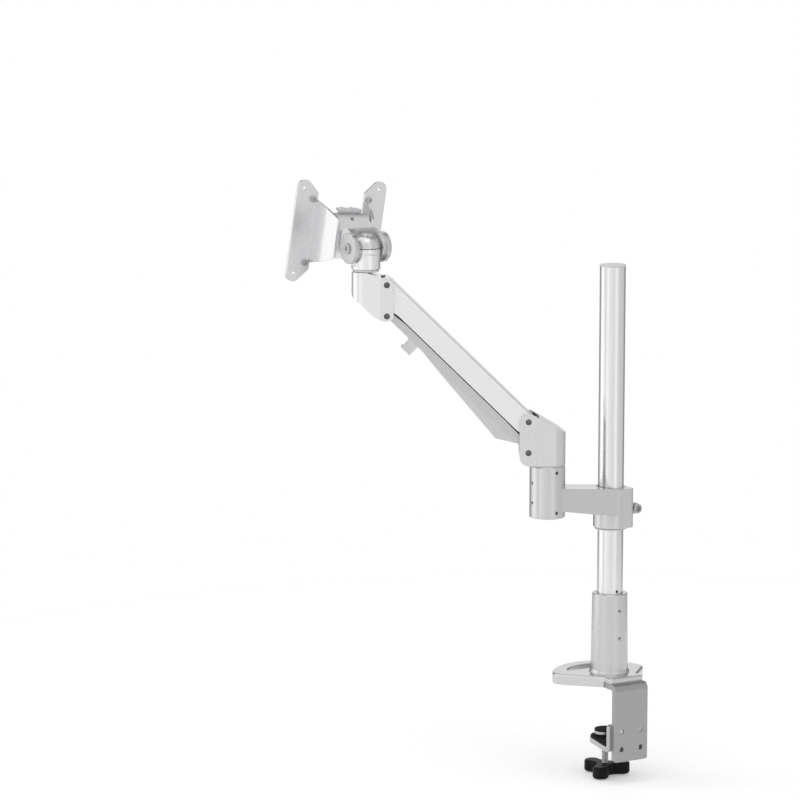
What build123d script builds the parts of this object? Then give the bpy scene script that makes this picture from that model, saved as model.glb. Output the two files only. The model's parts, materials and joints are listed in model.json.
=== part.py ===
"""Pole-mounted gas-spring monitor arm with a desk clamp.

Frame: +Z up, origin on the pole axis at the underside of the base, where the desk top is.
+Y points away from the user, square to the desk edge that the clamp grips.
Every piece is drawn in the frame of the link that carries it, then set at the rest pose.
All lengths are in millimetres and all angles in degrees.
"""
from build123d import *
import os
from math import atan2, cos, degrees, hypot, radians, sin, sqrt, tan

os.makedirs("parts", exist_ok=True)

# ---------------------------------------------------------------- rest pose
bracket_swing = 0      # bracket about the pole, from +X
arm_swing = -30        # arm about the barrel, from the bracket
arm_pitch = 44.2       # arm above the horizontal
head_swing = 32        # head about its post, from the arm
tilt_back = 8.5        # screen leaning back
screen_roll = -4       # screen turned in its own plane

# ---------------------------------------------------------------- fits
run_fit = 0.05         # radial play of a pin or shaft that turns
seat_gap = 0.3         # play between faces that slide past each other
hole_play = 0.25       # radial play of a screw in a plain hole

# ---------------------------------------------------------------- base and pole
pole_diameter = 30
pole_wall = 2.5
pole_top = 488
cap_thickness = 2.4
base_thickness = 12.5
base_radius = 59
base_shift_x = 7.5
base_shift_y = -2
facet_distance = 33.6          # of the slanted front faces, from the pole axis
base_corner = 14
base_edge = 3
lip_width = 45.5
lip_reach = 38
cable_hole_radius = 42
cable_hole_edge = 24           # straight edge of the cable hole, behind the pole axis
pad_thickness = 1.2
pad_margin = 3.5
socket_foot_diameter = 44
socket_top_diameter = 41
socket_top = 106.3
socket_floor = 6               # wall between the pole and the underside
grub_diameter = 4
socket_grub_heights = (54.8, 87.4)
pole_peg_height = 3            # small hole in the pole, above the socket
pole_bolt_diameter = 8
plug_length = 25

# ---------------------------------------------------------------- desk clamp
plate_thickness = 6.5
plate_reach = 48               # outer face, from the pole axis
plate_drop = 85
plate_tail = 20                # of the horizontal leg, behind the pole axis
plate_bend = 8
jaw_hole_span = 26
jaw_hole_top = 49              # upper row, below the desk top
jaw_hole_step = 21             # down to the lower row
jaw_screw_diameter = 6
jaw_width = 52
jaw_thickness = 6
jaw_leg_top = 41.5
jaw_tongue_top = 68
jaw_nose_radius = 18
jaw_pad_thickness = 2
spindle_y = -7
spindle_diameter = 8
spindle_foot = 58              # top of the pressure foot, below the desk top
foot_diameter = 26
foot_thickness = 6
foot_pad_thickness = 2
knob_bottom = 113
knob_thickness = 14
knob_reach = 30
knob_lobe_radius = 9.5
knob_hub_radius = 11.5
knob_angle = 43

# ---------------------------------------------------------------- pole bracket
bush_wall = 2
bush_lip = 1.2
collar_radius = 20.4
collar_bottom = 184
collar_height = 46.5
link_length = 87
barrel_radius = 20.5
barrel_bottom = 203.5
barrel_height = 60
web_half_at_barrel = 18.6
web_low_at_collar = 198.7
web_low_at_barrel = 213
web_top_at_barrel = 239
block_reach = 20                 # squared back of the collar
lug_radius = 6.5
lug_reach = 28.5
lug_half = 9
lug_slot = 2.4
clamp_bolt_diameter = 6
clamp_bolt_height = 20.5       # above the foot of the collar
elbow_shaft_diameter = 16
bush_flange = 1.5
elbow_bush_wall = 2
barrel_grubs_side = (18.2, 41.1)     # set screws facing away from the pole, above the foot of the barrel
barrel_grubs_front = (7.4, 53.9)     # deep set screws, square to the link
side_grub_sink = 1
front_grub_sink = 5
clamp_head_diameter = 11

# ---------------------------------------------------------------- lower elbow
pivot_spacing = 35.6
pivot_offset = 22.3            # of both lower pivots, out from the barrel axis
lower_pivot_height = 15.5      # above the foot of the elbow
cheek_width = 39
beam_width = 30
elbow_nose = 10.3              # of the elbow, past its pivots
elbow_crown = 9                # of the elbow, above its upper pivot
elbow_crown_start = 19
elbow_back_height = 37
elbow_front_bend = 11.5
elbow_top_bend = 9.5
slot_behind = 12.3             # slot of the lower elbow, behind its pivots
shaft_grip = 14                # length of the swivel shaft held in the elbow
pin_diameter = 7
pin_head_diameter = 6.4
pin_head_sink = 0.8
anchor_drop = 13               # spring anchor, below the upper pivot
anchor_width = 6
anchor_eye_radius = 4.5
anchor_pin_diameter = 5
anchor_pin_half = 8

# ---------------------------------------------------------------- arm
arm_length = 225               # between pivots
beam_top = 7.1                 # above the pivot line
beam_bottom = 16.5
beam_wall = 2.5
beam_end = 9
beam_heel = 12                 # rounding of the lower near corner
beam_taper = 26                # length over which the far end of the beam runs out
beam_edge = 2.5
stop_screw_head = 5.5
stop_screw_rise = 3
stop_screw_reach = -1
link_play = 0.8                # between the lower link and the walls of the beam
link_wall = 2.2
link_rise = 7.7                # walls of the lower link, above its pivot line
link_shallow = 1.4             # underside below the pivot line, far half
link_deep = 15.2               # underside below the pivot line, at the wedge
wedge_start = 37.7
wedge_back = 57                # end of the wedge, before the far pivot
wedge_foot = 15.7
wedge_run_out = 31.4           # length of the shallow end of the wedge
wedge_fade_depth = 5.3
wedge_ridge = 3.3              # ridge on the sides of the wedge, below the pivot line
wedge_slope = 17               # of the facets below the ridge
wedge_end = arm_length - wedge_back
wedge_fade = wedge_end - wedge_run_out
link_lug = 6.5
link_far_lug = 5.2
link_ramp = 45                 # length over which the walls of the link rise
open_pivot_play = 0.3          # radial play of the far pivot of the lower link
clip_size = 13.5
clip_back = 50                 # near end of the clip, before the far pivot
spring_reach = 150             # of the rod pin, along the beam
spring_drop = 4.5              # of the rod pin, below the pivot line of the beam
spring_tube_diameter = 13
spring_rod_diameter = 6
spring_tube_start = 21
spring_tube_end = 98
spring_wall = 1.5
rod_start = 50                 # rod inside the tube, from the anchor
fork_half_height = 4
fork_half_width = 7
rod_eye_play = 1.9             # play of the rod eye about its pin

# ---------------------------------------------------------------- upper elbow and head
neck_offset = 24               # of the head post, out from the upper pivots
neck_radius = 16.3
shoulder_height = 13.4         # top face, above the upper pivot
fork_edge = 7.6                # edge of the fork, behind the pivots
fork_top = 6
fork_round = 4
neck_start = 23                # where the level top of the neck begins
fork_slot = 10.5               # depth of the fork past its pivots
post_diameter = 12
post_depth = 27
ring_thickness = 2.4
head_radius = 16.5
tilt_height = 27.4             # tilt axis, above the shoulder
split_below_axis = 1.2
split_gap = 0.8
head_flat_start = 7
cap_screw_offset = 9
cap_screw_diameter = 3.5
cap_screw_head = 6
mark_drop = 5.6                # marks on the head, below the split
mark_depth = 1.5
mark_dot_radius = 0.8
mark_dot_turn = -32
mark_hole_radius = 1.3
mark_hole_turn = -19
mark_slot_length = 7
mark_slot_height = 1.3
dome_radius = 16.3
head_half_width = 15.6
axle_diameter = 8
ear_thickness = 3
disc_radius = 17.4
disc_thickness = 5.4
disc_boss = 13
disc_chord = 10
ear_axis_radius = 13
ear_lobe_radius = 10
ear_lobe_reach = 16
ear_lobe_rise = 10
yoke_web_inner = 22.5
yoke_web_thickness = 3.5
yoke_web_low = 10
yoke_web_high = 14

# ---------------------------------------------------------------- screen bracket
screen_offset = 69             # monitor face, from the tilt axis
screen_rise = 3                # turning axis, above the tilt axis
vesa_100 = 100
vesa_75 = 75
vesa_hole = 4.6
vesa_screw = 4
wing_half = 60
wing_thickness = 3
wing_lobe = 9.6
hat_foot = 34
hat_knee = 30
hat_knee_offset = 45
hat_top = 24.5
hat_wall = 3
hat_foot_height = 37
hat_top_height = 22.5
hub_radius = 30
hub_centre_offset = 56.6
web_offset = 40
web_thickness = 3.5
hub_bolt_diameter = 6
hub_grub_diameter = 5
hub_grub_rise = 22
hub_grub_hole_depth = 7
hub_pad_radius = 12
hat_knee_height = 31
wing_waist = 45
screen_screw_reach = 7
tab_width = 30
tab_thickness = 2.5
tab_shelf = 29
tab_depth = 10.5

# ---------------------------------------------------------------- worked-out sizes
pole_radius = pole_diameter / 2
socket_bore = pole_radius + run_fit
slot_half = beam_width / 2 + seat_gap
web_half = collar_radius - 0.2
barrel_top = barrel_bottom + barrel_height
elbow_foot = barrel_top + bush_flange + seat_gap
upper_pivot_height = lower_pivot_height + pivot_spacing
lower_link_half = beam_width / 2 - beam_wall - link_play
anchor_height = upper_pivot_height - anchor_drop
ear_inner = head_half_width + seat_gap
ear_outer = ear_inner + ear_thickness
yoke_web_outer = yoke_web_inner + yoke_web_thickness
hub_front = yoke_web_outer + seat_gap
tongue_bottom = jaw_tongue_top + jaw_thickness
plate_inner = plate_reach - plate_thickness
foot_bottom = spindle_foot + foot_thickness
spindle_neck = spindle_diameter * 0.75
facet_corner = facet_distance * sqrt(2)
bush_outer = pole_radius + run_fit + bush_wall
elbow_bush_outer = elbow_shaft_diameter / 2 + run_fit + elbow_bush_wall
collar_top = collar_bottom + collar_height
clamp_bolt_level = collar_bottom + clamp_bolt_height
elbow_front = pivot_offset + elbow_nose
elbow_top = upper_pivot_height + elbow_crown
slot_back = pivot_offset - slot_behind
beam_inner_half = beam_width / 2 - beam_wall
link_inner_half = lower_link_half - link_wall
split_level = tilt_height - split_below_axis
mark_level = split_level - mark_drop
disc_outer = ear_outer + disc_thickness
spring_run = spring_reach * cos(radians(arm_pitch)) + spring_drop * sin(radians(arm_pitch))
spring_climb = spring_reach * sin(radians(arm_pitch)) - spring_drop * cos(radians(arm_pitch)) + anchor_drop
spring_angle = degrees(atan2(spring_climb, spring_run))
spring_length = hypot(spring_climb, spring_run)

# ---------------------------------------------------------------- frames of the links
bracket_frame = Location((0, 0, 0), (0, 0, bracket_swing))
elbow_frame = bracket_frame * Location((link_length, 0, elbow_foot), (0, 0, arm_swing))
beam_frame = elbow_frame * Location((pivot_offset, 0, upper_pivot_height), (0, -arm_pitch, 0))
link_frame = elbow_frame * Location((pivot_offset, 0, lower_pivot_height), (0, -arm_pitch, 0))
spring_frame = elbow_frame * Location((pivot_offset, 0, anchor_height), (0, -spring_angle, 0))
wrist_x = pivot_offset + arm_length * cos(radians(arm_pitch))
wrist_z = upper_pivot_height + arm_length * sin(radians(arm_pitch))
wrist_frame = elbow_frame * Location((wrist_x, 0, wrist_z))
head_frame = wrist_frame * Location((neck_offset, 0, shoulder_height), (0, 0, head_swing))
tilt_frame = head_frame * Location((0, 0, tilt_height), (-tilt_back, 0, 0))
screen_frame = tilt_frame * Location((0, 0, screen_rise), (0, screen_roll, 0))


def grub_at(x, y, z, facing, length, diameter=grub_diameter):
    """A set screw along `facing` with a hexagon socket in its outer end."""
    plane = Plane(origin=(x, y, z), z_dir=facing)
    with BuildPart(mode=Mode.PRIVATE) as grub:
        with BuildSketch(plane):
            Circle(diameter / 2)
        extrude(amount=-length)
        with BuildSketch(plane):
            RegularPolygon(diameter * 0.28, 6)
        extrude(amount=-length / 2, mode=Mode.SUBTRACT)
    return grub.part


def cap_screw(origin, facing, diameter, length, head_diameter, head_height, socket=0.28):
    """A cap screw: the head stands above `origin` along `facing`, the shank goes the other way."""
    plane = Plane(origin=origin, z_dir=facing)
    with BuildPart(mode=Mode.PRIVATE) as screw:
        with BuildSketch(plane):
            Circle(head_diameter / 2)
        extrude(amount=head_height)
        chamfer(screw.edges().filter_by(GeomType.CIRCLE).group_by(SortBy.RADIUS)[-1]
                .sort_by(Axis(plane.origin, plane.z_dir))[-1], head_height * 0.12)
        with BuildSketch(plane):
            Circle(diameter / 2)
        extrude(amount=-length)
        with BuildSketch(plane.offset(head_height)):
            RegularPolygon(head_diameter * socket, 6)
        extrude(amount=-head_height * 0.6, mode=Mode.SUBTRACT)
    return screw.part


# ================================================================ base casting
plate_slot_half = lip_width / 2 + seat_gap

with BuildSketch() as base_outline:
    with Locations((base_shift_x, base_shift_y)):
        Circle(base_radius)
    far = 2 * base_radius
    lip_meet = facet_corner - lip_reach
    Polygon((-far, -far), (far, -far), (far, facet_corner - far), (lip_meet, lip_reach),
            (-lip_meet, lip_reach), (-far, facet_corner - far), align=None, mode=Mode.INTERSECT)
    outer_corners = base_outline.vertices().sort_by(Axis.X)
    fillet([outer_corners[0], outer_corners[-1]], base_corner)
    with Locations((0, lip_reach / 2)):
        Rectangle(lip_width, lip_reach)
    fillet(base_outline.vertices().group_by(Axis.Y)[-1], base_edge)

with BuildSketch() as cable_hole:
    with Locations((base_shift_x, base_shift_y)):
        Circle(cable_hole_radius)
    with Locations((base_shift_x, -cable_hole_edge + base_radius)):
        Rectangle(4 * base_radius, 2 * base_radius, mode=Mode.SUBTRACT)
    fillet(cable_hole.vertices(), base_edge)

with BuildSketch() as hole_margin:
    add(cable_hole.sketch)
    offset(amount=pad_margin)

with BuildSketch() as pad_outline:
    add(base_outline.sketch)
    offset(amount=-pad_margin)
    add(hole_margin.sketch, mode=Mode.SUBTRACT)
    with Locations((0, (lip_reach - plate_tail) / 2)):
        Rectangle(2 * (plate_slot_half + pad_margin), lip_reach + plate_tail + 2 * pad_margin,
                  mode=Mode.SUBTRACT)

with BuildPart() as base_disc:
    add(base_outline.sketch)
    extrude(amount=base_thickness)
    fillet(base_disc.edges().group_by(Axis.Z)[-1], base_edge)
    fillet(base_disc.edges().group_by(Axis.Z)[0], base_edge / 3)
    add(cable_hole.sketch)
    extrude(amount=base_thickness, mode=Mode.SUBTRACT)
    fillet(base_disc.edges().group_by(Axis.Z)[-1].filter_by_position(Axis.Y, -base_radius, -cable_hole_edge)
           .filter_by(lambda edge: edge.center().Y > base_shift_y - cable_hole_radius - base_edge), base_edge / 3)
    add(pad_outline.sketch)
    extrude(amount=pad_thickness, mode=Mode.SUBTRACT)
    with BuildSketch(Plane.XY):
        with Locations((0, (plate_reach - plate_tail) / 2)):
            Rectangle(2 * plate_slot_half, plate_reach + plate_tail + 2 * seat_gap)
    extrude(amount=plate_thickness, mode=Mode.SUBTRACT)
    with Locations((0, 0, base_thickness)):
        Hole(pole_bolt_diameter / 2 + hole_play)
base_disc.part.label = "base_disc"
export_step(base_disc.part, "parts/base_disc.step")

# ================================================================ base pad
with BuildPart() as base_pad:
    add(pad_outline.sketch)
    extrude(amount=pad_thickness)
base_pad.part.label = "base_pad"
export_step(base_pad.part, "parts/base_pad.step")

# ================================================================ pole socket
with BuildPart() as pole_socket:
    with BuildSketch(Plane.XZ):
        with BuildLine():
            Polyline((socket_bore, base_thickness + socket_floor), (socket_bore, socket_top),
                     (socket_top_diameter / 2, socket_top),
                     (socket_foot_diameter / 2, base_thickness + 4), (socket_foot_diameter / 2 + 1.6,
                                                                      base_thickness),
                     (pole_bolt_diameter / 2 + hole_play, base_thickness),
                     (pole_bolt_diameter / 2 + hole_play, base_thickness + socket_floor),
                     (socket_bore, base_thickness + socket_floor))
        make_face()
    revolve(axis=Axis.Z)
    chamfer(pole_socket.edges().group_by(Axis.Z)[-1], 0.8)
    with Locations(*[Location((0, 0, height), (-90, 0, 0)) for height in socket_grub_heights]):
        Cylinder(grub_diameter / 2, socket_foot_diameter, align=(Align.CENTER, Align.CENTER, Align.MIN),
                 mode=Mode.SUBTRACT)
pole_socket.part.label = "pole_socket"
export_step(pole_socket.part, "parts/pole_socket.step")

socket_slope = (socket_foot_diameter - socket_top_diameter) / 2 / (socket_top - base_thickness)
socket_grubs = Compound(label="socket_grubs", children=[
    grub_at(0, socket_top_diameter / 2 + socket_slope * (socket_top - height) - 1, height, (0, 1, 0),
            socket_top_diameter / 2 + socket_slope * (socket_top - height) - 1 - pole_radius - run_fit)
    for height in socket_grub_heights])
export_step(socket_grubs, "parts/socket_grubs.step")

# ================================================================ pole, plug, bolt and cap
pole_foot = base_thickness + socket_floor
plug_radius = pole_radius - pole_wall
with BuildPart() as pole:
    with BuildSketch(Plane.XY.offset(pole_foot)):
        Circle(pole_radius)
        Circle(plug_radius, mode=Mode.SUBTRACT)
    extrude(amount=pole_top - pole_foot)
    with Locations(Location((0, 0, socket_top + pole_peg_height), (-90, 0, 0))):
        Cylinder(grub_diameter * 0.4, pole_diameter, align=(Align.CENTER, Align.CENTER, Align.MIN),
                 mode=Mode.SUBTRACT)
pole.part.label = "pole"
export_step(pole.part, "parts/pole.step")

with BuildPart() as pole_plug:
    with BuildSketch(Plane.XY.offset(pole_foot)):
        Circle(plug_radius)
        Circle(pole_bolt_diameter / 2, mode=Mode.SUBTRACT)
    extrude(amount=plug_length)
    chamfer(pole_plug.edges().group_by(Axis.Z)[-1], 1)
pole_plug.part.label = "pole_plug"
export_step(pole_plug.part, "parts/pole_plug.step")

bolt_head_height = 4
with BuildPart() as pole_bolt:
    with BuildSketch(Plane.XY.offset(plate_thickness)):
        Circle(pole_bolt_diameter / 2)
    extrude(amount=pole_foot + plug_length * 0.8 - plate_thickness)
    with BuildSketch(Plane.XY.offset(plate_thickness - bolt_head_height)):
        Circle(pole_bolt_diameter * 0.8)
    extrude(amount=bolt_head_height)
    with BuildSketch(Plane.XY.offset(plate_thickness - bolt_head_height)):
        RegularPolygon(pole_bolt_diameter * 0.36, 6)
    extrude(amount=bolt_head_height * 0.7, mode=Mode.SUBTRACT)
pole_bolt.part.label = "pole_bolt"
export_step(pole_bolt.part, "parts/pole_bolt.step")

with BuildPart() as pole_cap:
    with BuildSketch(Plane.XY.offset(pole_top)):
        Circle(pole_radius - 0.1)
    extrude(amount=cap_thickness)
    fillet(pole_cap.edges().group_by(Axis.Z)[-1], cap_thickness * 0.4)
    with BuildSketch(Plane.XY.offset(pole_top)):
        Circle(plug_radius)
        Circle(plug_radius - 2, mode=Mode.SUBTRACT)
    extrude(amount=-12)
pole_cap.part.label = "pole_cap"
export_step(pole_cap.part, "parts/pole_cap.step")

# ================================================================ clamp plate
with BuildPart() as clamp_plate:
    with BuildSketch(Plane.YZ) as plate_profile:
        with BuildLine():
            Polyline((-plate_tail, 0), (-plate_tail, plate_thickness), (plate_reach, plate_thickness),
                     (plate_reach, -plate_drop), (plate_inner, -plate_drop), (plate_inner, 0), close=True)
        make_face()
        bend = plate_profile.vertices()
        fillet(bend.group_by(Axis.X)[-1].sort_by(Axis.Y)[-1], plate_bend)
        fillet(plate_profile.vertices().filter_by_position(Axis.X, plate_inner - 0.1, plate_inner + 0.1)
               .sort_by(Axis.Y)[-1], plate_bend - plate_thickness)
    extrude(amount=lip_width / 2, both=True)
    fillet(clamp_plate.edges().filter_by(Axis.Y).group_by(Axis.Z)[0], base_edge)
    fillet(clamp_plate.edges().filter_by(Axis.Z).group_by(Axis.Y)[-1], 0.8)
    with Locations(Location((0, plate_reach, -jaw_hole_top - jaw_hole_step / 2), (-90, 0, 0))):
        with GridLocations(jaw_hole_span, jaw_hole_step, 2, 2):
            Hole(jaw_screw_diameter / 2)
    with Locations((0, 0, 0)):
        Hole(pole_bolt_diameter * 0.8 + hole_play)
clamp_plate.part.label = "clamp_plate"
export_step(clamp_plate.part, "parts/clamp_plate.step")

# ================================================================ jaw bracket, pad and screws
with BuildPart() as jaw_bracket:
    with BuildSketch(Plane.XY.offset(-tongue_bottom)) as tongue_outline:
        with Locations((0, spindle_y)):
            Circle(jaw_nose_radius)
        with Locations((0, plate_inner - jaw_thickness)):
            Rectangle(jaw_width, jaw_thickness * 2)
        make_hull()
    extrude(amount=jaw_thickness)
    with BuildSketch(Plane.XY.offset(-tongue_bottom)):
        with Locations((0, plate_inner - jaw_thickness / 2)):
            Rectangle(jaw_width, jaw_thickness)
    extrude(amount=tongue_bottom - jaw_leg_top)
    inner_bend = plate_inner - jaw_thickness
    fillet(jaw_bracket.edges().filter_by(Axis.X).filter_by_position(Axis.Y, inner_bend - 0.1,
           inner_bend + 0.1)
           .sort_by(Axis.Z)[0], 1.5)
    heel = jaw_bracket.edges().filter_by(Axis.X).group_by(Axis.Y)[-1].sort_by(Axis.Z)[0]
    fillet(heel, jaw_thickness)
    fillet(jaw_bracket.edges().filter_by(Axis.Y).group_by(Axis.Z)[-1], 4)
    with Locations((0, spindle_y, -jaw_tongue_top)):
        Hole(spindle_diameter / 2 + run_fit)
    with Locations(Location((0, plate_inner, -jaw_hole_top), (-90, 0, 0))):
        with GridLocations(jaw_hole_span, 1, 2, 1):
            Hole(jaw_screw_diameter / 2 + hole_play, depth=jaw_thickness * 1.5)
jaw_bracket.part.label = "jaw_bracket"
export_step(jaw_bracket.part, "parts/jaw_bracket.step")

with BuildPart() as jaw_pad:
    with BuildSketch(Plane.XY.offset(-jaw_tongue_top)):
        with Locations((0, spindle_y)):
            Circle(jaw_nose_radius - 1)
        with Locations((0, plate_inner - jaw_thickness - 4)):
            Rectangle(jaw_width - 4, jaw_thickness * 0.6)
        make_hull()
        with Locations((0, spindle_y)):
            Circle(spindle_diameter * 0.8, mode=Mode.SUBTRACT)
    extrude(amount=jaw_pad_thickness)
jaw_pad.part.label = "jaw_pad"
export_step(jaw_pad.part, "parts/jaw_pad.step")

jaw_screws = Compound(label="jaw_screws", children=[
    cap_screw((side * jaw_hole_span / 2, plate_inner - jaw_thickness, -jaw_hole_top), (0, -1, 0),
              jaw_screw_diameter - 2 * run_fit, plate_thickness + jaw_thickness - 1,
              jaw_screw_diameter * 1.7, jaw_screw_diameter * 0.55)
    for side in (-1, 1)])
export_step(jaw_screws, "parts/jaw_screws.step")

# ================================================================ clamp spindle
with BuildPart() as pressure_foot:
    with BuildSketch(Plane.XY.offset(-foot_bottom)):
        with Locations((0, spindle_y)):
            Circle(foot_diameter / 2)
    extrude(amount=foot_thickness - foot_pad_thickness)
    fillet(pressure_foot.edges().group_by(Axis.Z)[0], 1)
    with BuildSketch(Plane.XY.offset(-foot_bottom)):
        with Locations((0, spindle_y)):
            Circle(spindle_neck / 2 + run_fit)
    extrude(amount=foot_thickness - foot_pad_thickness - 0.8, mode=Mode.SUBTRACT)
pressure_foot.part.label = "pressure_foot"
export_step(pressure_foot.part, "parts/pressure_foot.step")

with BuildPart() as foot_pad:
    with BuildSketch(Plane.XY.offset(-spindle_foot)):
        with Locations((0, spindle_y)):
            Circle(foot_diameter / 2 - 0.6)
    extrude(amount=-foot_pad_thickness)
foot_pad.part.label = "foot_pad"
export_step(foot_pad.part, "parts/foot_pad.step")

spindle_gap = 0.2
with BuildPart() as clamp_screw:
    with BuildSketch(Plane.XY.offset(-knob_bottom + 2)):
        with Locations((0, spindle_y)):
            Circle(spindle_diameter / 2)
    extrude(amount=knob_bottom - 2 - foot_bottom - spindle_gap)
    with BuildSketch(Plane.XY.offset(-foot_bottom - spindle_gap)):
        with Locations((0, spindle_y)):
            Circle(spindle_neck / 2)
    extrude(amount=spindle_gap + foot_thickness - foot_pad_thickness - 1.2)
clamp_screw.part.label = "clamp_screw"
export_step(clamp_screw.part, "parts/clamp_screw.step")

with BuildPart() as clamp_knob:
    with BuildSketch(Plane.XY.offset(-knob_bottom)) as knob_outline:
        with Locations((0, spindle_y)):
            Circle(knob_hub_radius)
            with PolarLocations(0, 3, knob_angle):
                with Locations(((knob_reach - knob_lobe_radius) / 2, 0)):
                    Rectangle(knob_reach - knob_lobe_radius, knob_lobe_radius * 1.8)
            with PolarLocations(knob_reach - knob_lobe_radius, 3, knob_angle):
                Circle(knob_lobe_radius)
        fillet(knob_outline.vertices().filter_by(
            lambda corner: (Vector(corner) - Vector(0, spindle_y)).length < knob_reach / 2), 3.5)
    extrude(amount=knob_thickness)
    fillet(clamp_knob.edges().group_by(Axis.Z)[-1] + clamp_knob.edges().group_by(Axis.Z)[0], 3)
    with BuildSketch(Plane.XY.offset(-knob_bottom + 2)):
        with Locations((0, spindle_y)):
            Circle(spindle_diameter / 2)
    extrude(amount=knob_thickness, mode=Mode.SUBTRACT)
clamp_knob.part.label = "clamp_knob"
export_step(clamp_knob.part, "parts/clamp_knob.step")

# ================================================================ pole bracket and its bush
with BuildPart() as pole_bush:
    with BuildSketch(Plane.XY.offset(collar_bottom - seat_gap)):
        Circle(bush_outer)
        Circle(pole_radius + run_fit, mode=Mode.SUBTRACT)
    extrude(amount=collar_height + seat_gap)
    with BuildSketch(Plane.XY.offset(collar_bottom - seat_gap)):
        Circle(bush_outer + bush_wall)
        Circle(pole_radius + run_fit, mode=Mode.SUBTRACT)
    extrude(amount=-bush_lip)
pole_bush.part.label = "pole_bush"
export_step(pole_bush.part, "parts/pole_bush.step")

with BuildSketch() as collar_block:
    with Locations((-block_reach / 2, 0)):
        Rectangle(block_reach, 2 * web_half)
    fillet(collar_block.vertices().group_by(Axis.X)[0], 5)

with BuildPart() as pole_bracket:
    with BuildSketch(Plane.XY.offset(collar_bottom)):
        Circle(collar_radius)
        add(collar_block.sketch)
    extrude(amount=collar_height)
    fillet(pole_bracket.edges().group_by(Axis.Z)[0], 1.5)
    with BuildSketch(Plane.XY.offset(barrel_bottom)):
        with Locations((link_length, 0)):
            Circle(barrel_radius)
    extrude(amount=barrel_height)
    fillet(pole_bracket.edges().filter_by(GeomType.CIRCLE).filter_by_position(Axis.Z, barrel_top - 0.1,
           barrel_top + 0.1), 1)
    fillet(pole_bracket.edges().filter_by(GeomType.CIRCLE).filter_by_position(Axis.Z, barrel_bottom - 0.1,
           barrel_bottom + 0.1), 1.5)
    with BuildSketch(Plane.YZ):
        with Locations((0, (web_low_at_collar + collar_top) / 2)):
            Rectangle(2 * web_half, collar_top - web_low_at_collar)
    with BuildSketch(Plane.YZ.offset(link_length)):
        with Locations((0, (web_low_at_barrel + web_top_at_barrel) / 2)):
            Rectangle(2 * web_half_at_barrel, web_top_at_barrel - web_low_at_barrel)
    loft(ruled=True)
    with BuildSketch(Plane.XZ):
        with Locations((-lug_reach, clamp_bolt_level)):
            Circle(lug_radius)
        with Locations((-block_reach, clamp_bolt_level)):
            Rectangle(2, 2 * lug_radius)
        make_hull()
    extrude(amount=lug_half, both=True)
    with Locations((0, 0, collar_top)):
        Hole(bush_outer + run_fit)
    with Locations((link_length, 0, barrel_top)):
        Hole(elbow_bush_outer)
    with Locations((-lug_reach, 0, collar_bottom + collar_height / 2)):
        Box(2 * lug_reach, lug_slot, collar_height + 2, mode=Mode.SUBTRACT)
    with Locations(Location((-lug_reach, 0, clamp_bolt_level), (90, 0, 0))):
        Cylinder(clamp_bolt_diameter / 2 + hole_play, 4 * lug_half, mode=Mode.SUBTRACT)
    with Locations(*[Location((link_length, 0, barrel_bottom + height), (0, 90,
                   0)) for height in barrel_grubs_side],
                   *[Location((link_length, 0, barrel_bottom + height), (-90, 0,
                     0)) for height in barrel_grubs_front]):
        Cylinder(grub_diameter / 2, 2 * barrel_radius, align=(Align.CENTER, Align.CENTER, Align.MIN),
                 mode=Mode.SUBTRACT)
pole_bracket.part.locate(bracket_frame)
pole_bracket.part.label = "pole_bracket"
export_step(pole_bracket.part, "parts/pole_bracket.step")

barrel_grubs = Compound(label="barrel_grubs", children=[
    grub_at(link_length + barrel_radius - side_grub_sink, 0, barrel_bottom + height, (1, 0, 0),
            barrel_radius - side_grub_sink - elbow_bush_outer)
    for height in barrel_grubs_side] + [
    grub_at(link_length, barrel_radius - front_grub_sink, barrel_bottom + height, (0, 1, 0),
            barrel_radius - front_grub_sink - elbow_bush_outer)
    for height in barrel_grubs_front])
barrel_grubs.locate(bracket_frame)
export_step(barrel_grubs, "parts/barrel_grubs.step")

clamp_bolt = cap_screw((-lug_reach, lug_half, clamp_bolt_level), (0, 1, 0), clamp_bolt_diameter,
                       2 * lug_half + clamp_bolt_diameter, clamp_head_diameter, clamp_bolt_diameter, 0.34)
clamp_bolt.label = "clamp_bolt"
clamp_bolt.locate(bracket_frame)
export_step(clamp_bolt, "parts/clamp_bolt.step")

with BuildPart() as clamp_nut:
    with BuildSketch(Plane.XZ.offset(lug_half)):
        with Locations((-lug_reach, clamp_bolt_level)):
            RegularPolygon(clamp_head_diameter / 2, 6)
            Circle(clamp_bolt_diameter / 2, mode=Mode.SUBTRACT)
    extrude(amount=clamp_bolt_diameter * 0.8)
clamp_nut.part.locate(bracket_frame)
clamp_nut.part.label = "clamp_nut"
export_step(clamp_nut.part, "parts/clamp_nut.step")

with BuildPart() as barrel_bush:
    with BuildSketch(Plane.XY.offset(barrel_bottom)):
        with Locations((link_length, 0)):
            Circle(elbow_bush_outer)
            Circle(elbow_shaft_diameter / 2 + run_fit, mode=Mode.SUBTRACT)
    extrude(amount=barrel_height)
    with BuildSketch(Plane.XY.offset(barrel_top)):
        with Locations((link_length, 0)):
            Circle(barrel_radius - 1)
            Circle(elbow_shaft_diameter / 2 + run_fit, mode=Mode.SUBTRACT)
    extrude(amount=bush_flange)
barrel_bush.part.locate(bracket_frame)
barrel_bush.part.label = "barrel_bush"
export_step(barrel_bush.part, "parts/barrel_bush.step")

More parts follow.
